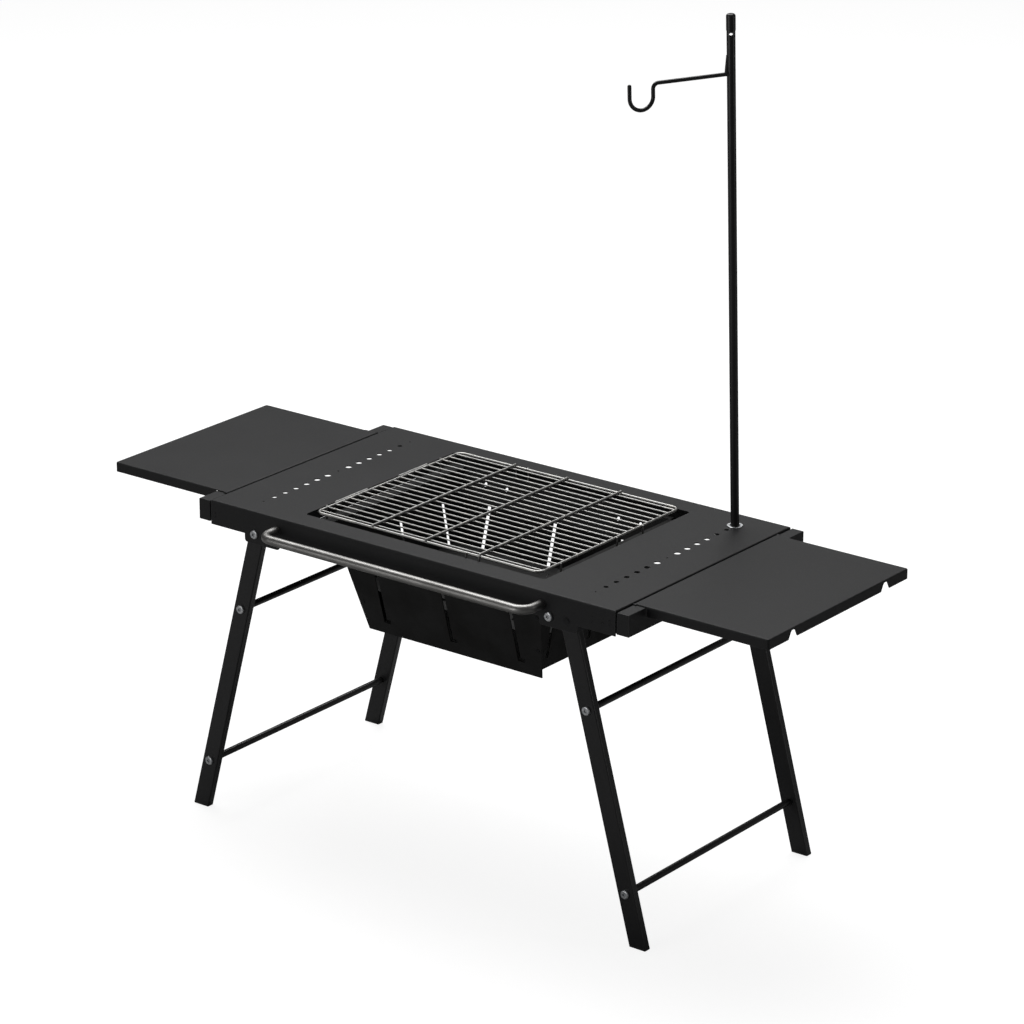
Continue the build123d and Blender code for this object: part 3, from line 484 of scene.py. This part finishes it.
def solid_boxes(node):
    """Boxes of the separate solids of a CAD node, as lowest and highest corners, in order along X and Y."""
    mesh = bmesh.new()
    mesh.from_mesh(frame["nodes"][node].data)
    bmesh.ops.remove_doubles(mesh, verts=mesh.verts, dist=SAME_POINT)
    seen = set()
    boxes = []
    for start in mesh.verts:
        if start.index in seen:
            continue
        group = []
        todo = [start]
        seen.add(start.index)
        while todo:
            vert = todo.pop()
            group.append(vert.co.copy())
            for edge in vert.link_edges:
                other = edge.other_vert(vert)
                if other.index not in seen:
                    seen.add(other.index)
                    todo.append(other)
        low = Vector([min(p[i] for p in group) for i in range(3)])
        high = Vector([max(p[i] for p in group) for i in range(3)])
        boxes.append((low, high))
    mesh.free()
    to_tenth_mm = 4
    return sorted(boxes, key=lambda box: (round(box[0].x, to_tenth_mm), round(box[0].y, to_tenth_mm)))


def mesh_piece(name, mesh, material, body):
    """Turn a bmesh into a smooth piece that rides on a body."""
    data = bpy.data.meshes.new(name)
    mesh.to_mesh(data)
    mesh.free()
    for polygon in data.polygons:
        polygon.use_smooth = True
    data.materials.append(material)
    piece = bpy.data.objects.new(name, data)
    bpy.context.scene.collection.objects.link(piece)
    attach(piece, body)


def spot_weld(mesh, centre, radius, rings, squash):
    """A flattened drop of weld metal."""
    place = Matrix.Translation(centre) @ Matrix.Diagonal((*squash, 1.0))
    bmesh.ops.create_uvsphere(mesh, u_segments=2 * rings, v_segments=rings, radius=radius, matrix=place)


def weld_ring(mesh, centre, axis, radius, bead, segments=32, ring=8):
    """A rough fillet of weld metal round a bar, a torus whose bead swells and shrinks along it.

    Seven large swells and eleven small ones go round it, so that no two stretches look the same.
    """
    large_swell, small_swell = 0.14, 0.08
    across = axis.orthogonal().normalized()
    beside = axis.cross(across).normalized()
    loops = []
    for i in range(segments):
        turn = 2 * math.pi * i / segments
        out = across * math.cos(turn) + beside * math.sin(turn)
        size = bead * (1 + large_swell * math.sin(7 * turn) + small_swell * math.sin(11 * turn + 1))
        loop = []
        for j in range(ring):
            round_turn = 2 * math.pi * j / ring
            offset = out * (size * math.cos(round_turn)) + axis * (size * math.sin(round_turn))
            loop.append(mesh.verts.new(centre + out * radius + offset))
        loops.append(loop)
    for i in range(segments):
        here = loops[i]
        there = loops[(i + 1) % segments]
        for j in range(ring):
            k = (j + 1) % ring
            mesh.faces.new((here[j], there[j], there[k], here[k]))
    bmesh.ops.recalc_face_normals(mesh, faces=mesh.faces)


# ---- operators ----------------------------------------------------------------------------------
class GRILL_OT_deck(bpy.types.Operator):
    """Finish the deck, its end beams, brackets and rivets"""

    bl_idname = "grill.deck"
    bl_label = "Deck"

    def execute(self, context):
        colours = context.scene.grill_colours
        sizes = context.scene.grill_sizes
        coat = powder_coat(
            "powder_coated_sheet_steel", colours.sheet_coat, roughness=0.5, specular=0.22, sizes=sizes
        )
        finish_nodes(coat, "deck_pan", *sided("end_beam_{}"))
        black = blackened_steel(colours.blackened)
        finish_nodes(black, "leg_brackets", "pivot_rivets", "bracket_rivets", "beam_rivets", "firebox_ledges")
        finish_nodes(black, "hinge_bearings", "hinge_pins", "pole_socket", "skirt_rivets")
        zinc = bright_zinc(colours.zinc)
        finish_nodes(zinc, "pivot_bolts", "bracket_bolts")
        return {"FINISHED"}


class GRILL_OT_side_boards(bpy.types.Operator):
    """Finish the two folding side boards"""

    bl_idname = "grill.side_boards"
    bl_label = "Side boards"

    def execute(self, context):
        finish_nodes(bpy.data.materials["powder_coated_sheet_steel"], *sided("side_board_{}"))
        return {"FINISHED"}


class GRILL_OT_leg_frames(bpy.types.Operator):
    """Finish the legs, crossbars, bolts and foot caps"""

    bl_idname = "grill.leg_frames"
    bl_label = "Leg frames"

    def execute(self, context):
        colours = context.scene.grill_colours
        sizes = context.scene.grill_sizes
        coat = powder_coat(
            "powder_coated_tube", colours.tube_coat, roughness=0.3, specular=0.42, sizes=sizes, peel=0.7
        )
        finish_nodes(coat, *sided("leg_{}_front", "leg_{}_back", "crossbar_{}_upper", "crossbar_{}_lower"))
        finish_nodes(bpy.data.materials["bright_zinc_steel"], *sided("leg_bolts_{}"))
        finish_nodes(moulded_polyethylene(colours.foot_plastic), *sided("foot_caps_{}"))
        return {"FINISHED"}


class GRILL_OT_front_rail(bpy.types.Operator):
    """Finish the front rail and its fixings"""

    bl_idname = "grill.front_rail"
    bl_label = "Front rail"

    def execute(self, context):
        scene = context.scene
        steel = brushed_stainless(scene.grill_colours.rail_steel, scene.grill_sizes.brush_pitch)
        finish_nodes(steel, "front_rail")
        finish_nodes(bpy.data.materials["bright_zinc_steel"], "rail_plugs", "rail_screws")
        return {"FINISHED"}


class GRILL_OT_firebox(bpy.types.Operator):
    """Finish the firebox and the charcoal grid"""

    bl_idname = "grill.firebox"
    bl_label = "Firebox"

    def execute(self, context):
        paint = stove_paint(context.scene.grill_colours.stove_paint)
        finish_nodes(paint, *sided("firebox_wall_{}"), "firebox_wall_front", "firebox_wall_back")
        finish_nodes(paint, "firebox_floor", "charcoal_grid", "grid_rests")
        finish_nodes(bpy.data.materials["black_oxide_steel"], "firebox_rivets")
        return {"FINISHED"}


class GRILL_OT_grate(bpy.types.Operator):
    """Finish the grate's wires, and add its spot welds"""

    bl_idname = "grill.grate"
    bl_label = "Grate"

    def execute(self, context):
        sizes = context.scene.grill_sizes
        plating = chrome_plated_wire(context.scene.grill_colours.wire_plating)
        names = ("grate_frame", "grate_cross_wires", "grate_support_wires", "grate_grips", "grate_feet")
        finish_nodes(plating, *names)
        supports = solid_boxes("grate_support_wires")
        cross_end_bead = sizes.weld_bead
        crossing_bead = sizes.weld_bead * 1.2
        support_end_bead = sizes.weld_bead * 1.3
        below_top = 1.0 * MM
        above_underside = 0.4 * MM
        flat = (1.0, 1.0, 0.75)
        welds = bmesh.new()
        for low, high in solid_boxes("grate_cross_wires"):
            y = (low.y + high.y) / 2
            top = high.z
            for end in (low.x, high.x):
                spot_weld(welds, Vector((end, y, top - below_top)), cross_end_bead, sizes.weld_rings, flat)
            for left, right in supports:
                x = (left.x + right.x) / 2
                spot_weld(welds, Vector((x, y, top)), crossing_bead, sizes.weld_rings, flat)
        for low, high in supports:
            x = (low.x + high.x) / 2
            level = low.z + above_underside
            for end in (low.y, high.y):
                spot_weld(welds, Vector((x, end, level)), support_end_bead, sizes.weld_rings, flat)
        mesh_piece("grate_spot_welds", welds, plating, "grate")
        return {"FINISHED"}


class GRILL_OT_pole(bpy.types.Operator):
    """Finish the pole, its cap, hook, socket ring and foot, and add the hook's weld"""

    bl_idname = "grill.pole"
    bl_label = "Pole and hook"

    def execute(self, context):
        coat = bpy.data.materials["powder_coated_tube"]
        finish_nodes(coat, "pole_tube", "pole_cap", "hook_arm", "hook_fin")
        finish_nodes(bpy.data.materials["bright_zinc_steel"], "pole_ring")
        finish_nodes(bpy.data.materials["moulded_polyethylene"], "pole_foot")
        joints = frame["record"]["behaviour"]["joints"]
        turn = next(joint for joint in joints if joint["name"] == "pole_turn")
        base = Vector(turn["pos_m"])
        axis = Vector(turn["axis"]).normalized()
        sizes = context.scene.grill_sizes
        wire = sizes.hook_wire / 2
        bead = 0.8 * MM
        arm_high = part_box("hook_arm")[1]
        root = base + axis * ((arm_high.z - wire - base.z) / axis.z)
        beside = centre_of("hook_fin") - base
        towards = (beside - axis * beside.dot(axis)).normalized()
        weld = bmesh.new()
        weld_ring(weld, root + towards * sizes.hook_weld_reach, towards, wire, bead)
        mesh_piece("hook_weld", weld, coat, "pole")
        return {"FINISHED"}


class GRILL_OT_stage(bpy.types.Operator):
    """Add the floor, the soft lights and the camera"""

    bl_idname = "grill.stage"
    bl_label = "Floor, light and camera"

    def execute(self, context):
        studio = context.scene.grill_studio
        lay_floor()
        light_room(context.scene, studio)
        place_camera(context.scene, studio)
        return {"FINISHED"}


# ---- floor, light and camera --------------------------------------------------------------------
def lay_floor():
    """A plain white floor. To the camera it is bright and barely shaded; it throws little light back up."""
    bpy.ops.mesh.primitive_plane_add(size=FLOOR_WIDTH, location=(0, 0, 0))
    floor = bpy.context.object
    floor.name = "floor"
    material = bpy.data.materials.new("white_vinyl_floor")
    material.use_nodes = True
    tree = material.node_tree
    tree.nodes.clear()
    paint = add(tree, "ShaderNodeBsdfDiffuse", links={"Color": FLOOR_PAINT})
    glow = add(tree, "ShaderNodeEmission", links={"Color": WHITE, "Strength": FLOOR_GLOW})
    seen = add(tree, "ShaderNodeAddShader", links={0: paint.outputs[0], 1: glow.outputs[0]})
    straight = add(tree, "ShaderNodeLightPath").outputs["Is Camera Ray"]
    shader = add(tree, "ShaderNodeMixShader", links={0: straight, 1: paint.outputs[0], 2: seen.outputs[0]})
    close_material(tree, shader)
    floor.data.materials.append(material)


def softbox(name, place, aim, width, height, power):
    """A large lamp at a place, turned towards a point."""
    data = bpy.data.lights.new(name, "AREA")
    data.shape = "RECTANGLE"
    data.size = width
    data.size_y = height
    data.energy = power
    lamp = bpy.data.objects.new(name, data)
    bpy.context.scene.collection.objects.link(lamp)
    lamp.location = place
    lamp.rotation_euler = (Vector(aim) - Vector(place)).to_track_quat("-Z", "Y").to_euler()


def light_room(scene, studio):
    """A dim white room with a softbox overhead, one in front, and a strip lamp at the right.

    The strip draws a thin bright line down the round tubes.
    """
    middle = (0, 0, 0.4)
    softbox("overhead_softbox", (-1.3, 1.2, 3.6), middle, width=3.0, height=3.0, power=studio.key_power)
    softbox("front_softbox", (-1.3, -4.2, 0.9), middle, width=2.6, height=1.8, power=studio.fill_power)
    softbox("right_strip", (3.7, 1.5, 1.1), middle, width=0.35, height=2.2, power=studio.rim_power)
    world = bpy.data.worlds.new("studio")
    scene.world = world
    world.use_nodes = True
    tree = world.node_tree
    tree.nodes.clear()
    backdrop = add(tree, "ShaderNodeBackground", links={"Color": WHITE, "Strength": 1.0})
    room = add(tree, "ShaderNodeBackground", links={"Color": WHITE, "Strength": studio.sky_strength})
    straight = add(tree, "ShaderNodeLightPath").outputs["Is Camera Ray"]
    shader = add(tree, "ShaderNodeMixShader", links={0: straight, 1: room.outputs[0], 2: backdrop.outputs[0]})
    add(tree, "ShaderNodeOutputWorld", links={"Surface": shader.outputs[0]})
    scene.view_settings.view_transform = "Standard"


def place_camera(scene, studio):
    """A long lens, above and to the right of the grill's front."""
    deck_low, deck_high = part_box("deck_pan")
    target = Vector(((deck_low.x + deck_high.x) / 2, (deck_low.y + deck_high.y) / 2, deck_high.z))
    level = math.cos(studio.elevation)
    away = Vector((
        math.sin(studio.azimuth) * level,
        -math.cos(studio.azimuth) * level,
        math.sin(studio.elevation),
    ))
    turn = (-away).to_track_quat("-Z", "Y")
    data = bpy.data.cameras.new("camera")
    data.lens = studio.lens
    data.sensor_width = SENSOR_WIDTH
    data.clip_end = 100
    camera = bpy.data.objects.new("camera", data)
    scene.collection.objects.link(camera)
    camera.rotation_euler = turn.to_euler()
    aim = target + turn @ Vector((studio.aim_right, studio.aim_up, 0))
    camera.location = aim + away * studio.distance
    scene.camera = camera


# ---- sidebar ------------------------------------------------------------------------------------
PIECES = (
    GRILL_OT_deck,
    GRILL_OT_side_boards,
    GRILL_OT_leg_frames,
    GRILL_OT_front_rail,
    GRILL_OT_firebox,
    GRILL_OT_grate,
    GRILL_OT_pole,
    GRILL_OT_stage,
)


class GRILL_PT_sidebar(bpy.types.Panel):
    """Colours, sizes, camera and lights, and a button for each group of pieces"""

    bl_label = "Folding camp grill"
    bl_idname = "GRILL_PT_sidebar"
    bl_space_type = "VIEW_3D"
    bl_region_type = "UI"
    bl_category = "Grill"

    def draw(self, context):
        for group in (context.scene.grill_colours, context.scene.grill_sizes, context.scene.grill_studio):
            box = self.layout.box()
            for name in group.__annotations__:
                box.prop(group, name)
        for piece in PIECES:
            self.layout.operator(piece.bl_idname)


CLASSES = (GrillColours, GrillSizes, GrillStudio, *PIECES, GRILL_PT_sidebar)


def register():
    for cls in CLASSES:
        bpy.utils.register_class(cls)
    bpy.types.Scene.grill_colours = PointerProperty(type=GrillColours)
    bpy.types.Scene.grill_sizes = PointerProperty(type=GrillSizes)
    bpy.types.Scene.grill_studio = PointerProperty(type=GrillStudio)


def unregister():
    del bpy.types.Scene.grill_studio
    del bpy.types.Scene.grill_sizes
    del bpy.types.Scene.grill_colours
    for cls in reversed(CLASSES):
        bpy.utils.unregister_class(cls)


def main():
    """Finish the grill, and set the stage."""
    register()
    bpy.ops.grill.deck()
    bpy.ops.grill.side_boards()
    bpy.ops.grill.leg_frames()
    bpy.ops.grill.front_rail()
    bpy.ops.grill.firebox()
    bpy.ops.grill.grate()
    bpy.ops.grill.pole()
    bpy.ops.grill.stage()


if __name__ == "__main__":
    main()
